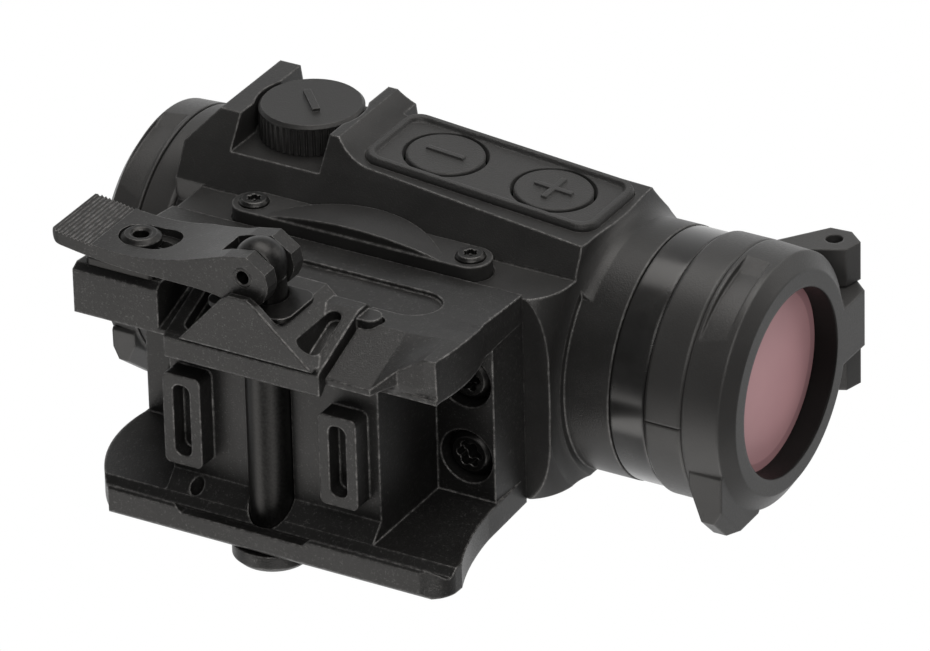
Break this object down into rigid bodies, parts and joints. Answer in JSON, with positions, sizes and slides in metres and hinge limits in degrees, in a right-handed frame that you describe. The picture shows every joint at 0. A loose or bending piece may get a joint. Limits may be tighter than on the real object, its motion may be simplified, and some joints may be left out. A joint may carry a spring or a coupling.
{
  "type": "red dot finder",
  "caption": "Tube red-dot finder with flip-up lens covers, side control pad, capped adjusters and a quick-release lever clamp for an accessory rail.",
  "frame": {"origin": "on the rail's top plane, on its centre line, at the cross bolt", "axes": "+X along the optical axis to the objective end, +Z away from the rail, -Y the side with the keys, windage cap and lever"},
  "size_m": [0.0821, 0.0403, 0.0632],
  "materials": {
    "anodised": "matte black anodised, blasted",
    "mount_metal": "matte black anodised, edges worn bright",
    "gloss_ring": "gloss black",
    "black_steel": "black oxide",
    "spring_steel": "plain",
    "cover_polymer": "matte moulded",
    "pad_rubber": "fine grained",
    "seal_rubber": "smooth",
    "tinted_window": "pink tint",
    "coated_glass": "coated",
    "board": "green solder mask",
    "cell_steel": "bright",
    "contact": "gold plated",
    "led": "clear red",
    "tube_inner": "dull black"
  },
  "bodies": {
    "sight": {"main_housing": "anodised", "objective_ring": "gloss_ring", "objective_seal": "seal_rubber", "ocular_window": "coated_glass", "ocular_retainer": "tube_inner", "ocular_seal": "seal_rubber", "circuit_board": "board", "button_switches": "cell_steel", "button_pad": "pad_rubber", "battery_contacts": "contact", "front_cap_ring": "cover_polymer", "front_hinge_pin": "black_steel", "front_hinge_spring": "spring_steel", "rear_cap_ring": "cover_polymer", "rear_hinge_pin": "black_steel", "rear_hinge_spring": "spring_steel", "mount_base": "mount_metal", "mount_screws": "black_steel", "cross_bolt": "black_steel", "jaw_springs": "spring_steel", "catch_plate": "black_steel"},
    "yaw_ring": {"gimbal_ring": "tube_inner"},
    "optic_cell": {"inner_optic_tube": "tube_inner", "objective_lens": "coated_glass", "emitter_holder": "tube_inner", "led_emitter": "led", "cell_spring": "spring_steel"},
    "minus_key": {"minus_button": "pad_rubber"},
    "plus_key": {"plus_button": "pad_rubber"},
    "battery_cover": {"battery_tray": "anodised", "coin_cell": "cell_steel", "battery_seal": "seal_rubber", "battery_screws": "black_steel"},
    "windage_gasket": {"windage_seal": "seal_rubber"},
    "windage_cover": {"windage_cap": "anodised"},
    "windage_adjuster": {"windage_screw": "black_steel"},
    "windage_pin": {"windage_pusher": "black_steel"},
    "elevation_gasket": {"elevation_seal": "seal_rubber"},
    "elevation_cover": {"elevation_cap": "anodised"},
    "elevation_adjuster": {"elevation_screw": "black_steel"},
    "elevation_pin": {"elevation_pusher": "black_steel"},
    "front_cover": {"front_lid": "cover_polymer", "front_lid_window": "tinted_window"},
    "rear_cover": {"rear_lid": "cover_polymer", "rear_lid_window": "tinted_window"},
    "jaw": {"movable_jaw": "mount_metal", "cam_saddle": "black_steel"},
    "lever": {"clamp_lever": "mount_metal", "lever_pin": "black_steel"},
    "lock_slider": {"lock_button": "black_steel"},
    "tension_nut": {"clamp_nut": "mount_metal"}
  },
  "joints": [
    {"name": "minus_press", "type": "slide", "parent": "sight", "child": "minus_key", "axis": [-0.0797, 0.9968, 0], "range_m": [0, 0.0005]},
    {"name": "plus_press", "type": "slide", "parent": "sight", "child": "plus_key", "axis": [-0.0797, 0.9968, 0], "range_m": [0, 0.0005]},
    {"name": "battery_slide", "type": "slide", "parent": "sight", "child": "battery_cover", "axis": [0, -1, 0], "range_m": [0, 0.024]},
    {"name": "windage_cap_lift", "type": "slide", "parent": "sight", "child": "windage_gasket", "axis": [0, -1, 0], "range_m": [0, 0.003]},
    {"name": "windage_cap_turn", "type": "hinge", "parent": "windage_gasket", "child": "windage_cover", "pos_m": [-0.0156, -0.018, 0.03607], "axis": [0, -1, 0], "range_deg": [0, 1085]},
    {"name": "windage_turn", "type": "hinge", "parent": "sight", "child": "windage_adjuster", "pos_m": [-0.0156, -0.016, 0.03607], "axis": [0, -1, 0], "range_deg": [-240, 240]},
    {"name": "windage_pin_slide", "type": "slide", "parent": "sight", "child": "windage_pin", "axis": [0, -1, 0], "range_m": [-0.00041, 0.00041]},
    {"name": "cell_yaw", "type": "hinge", "parent": "sight", "child": "yaw_ring", "pos_m": [0.0225, 0, 0.03607], "axis": [0, 0, 1], "range_deg": [-0.6, 0.6]},
    {"name": "elevation_cap_lift", "type": "slide", "parent": "sight", "child": "elevation_gasket", "axis": [0, 0, 1], "range_m": [0, 0.003]},
    {"name": "elevation_cap_turn", "type": "hinge", "parent": "elevation_gasket", "child": "elevation_cover", "pos_m": [-0.0156, 0, 0.05407], "axis": [0, 0, 1], "range_deg": [0, 1085]},
    {"name": "elevation_turn", "type": "hinge", "parent": "sight", "child": "elevation_adjuster", "pos_m": [-0.0156, 0, 0.05207], "axis": [0, 0, 1], "range_deg": [-240, 240]},
    {"name": "elevation_pin_slide", "type": "slide", "parent": "sight", "child": "elevation_pin", "axis": [0, 0, 1], "range_m": [-0.00041, 0.00041]},
    {"name": "cell_pitch", "type": "hinge", "parent": "yaw_ring", "child": "optic_cell", "pos_m": [0.0225, 0, 0.03607], "axis": [0, 1, 0], "range_deg": [-0.6, 0.6]},
    {"name": "front_lid_hinge", "type": "hinge", "parent": "sight", "child": "front_cover", "pos_m": [0.0412, 0, 0.0549], "axis": [0, -1, 0], "range_deg": [0, 165]},
    {"name": "rear_lid_hinge", "type": "hinge", "parent": "sight", "child": "rear_cover", "pos_m": [-0.0327, 0, 0.0549], "axis": [0, 1, 0], "range_deg": [0, 165]},
    {"name": "lever_pivot", "type": "hinge", "parent": "sight", "child": "lever", "pos_m": [-0.0002, -0.0214, 0], "axis": [0, 0, 1], "range_deg": [0, 150]},
    {"name": "jaw_slide", "type": "slide", "parent": "sight", "child": "jaw", "axis": [0, -1, 0], "range_m": [0, 0.00112]},
    {"name": "lock_slide", "type": "slide", "parent": "lever", "child": "lock_slider", "axis": [1, 0, 0], "range_m": [0, 0.0025]},
    {"name": "nut_turn", "type": "hinge", "parent": "sight", "child": "tension_nut", "pos_m": [0, 0.0143, -0.0004], "axis": [0, 1, 0], "continuous": true}
  ],
  "couplings": [
    {"joint": "windage_cap_turn", "follows": "windage_cap_lift", "rad_per_m": 6283.2},
    {"joint": "elevation_cap_turn", "follows": "elevation_cap_lift", "rad_per_m": 6283.2},
    {"joint": "windage_turn", "follows": "cell_yaw", "ratio": 398.98},
    {"joint": "windage_pin_slide", "follows": "cell_yaw", "m_per_rad": 0.0381},
    {"joint": "elevation_turn", "follows": "cell_pitch", "ratio": 398.98},
    {"joint": "elevation_pin_slide", "follows": "cell_pitch", "m_per_rad": 0.0381},
    {"joint": "jaw_slide", "follows": "lever_pivot", "m_per_rad": 0.00042017}
  ]
}
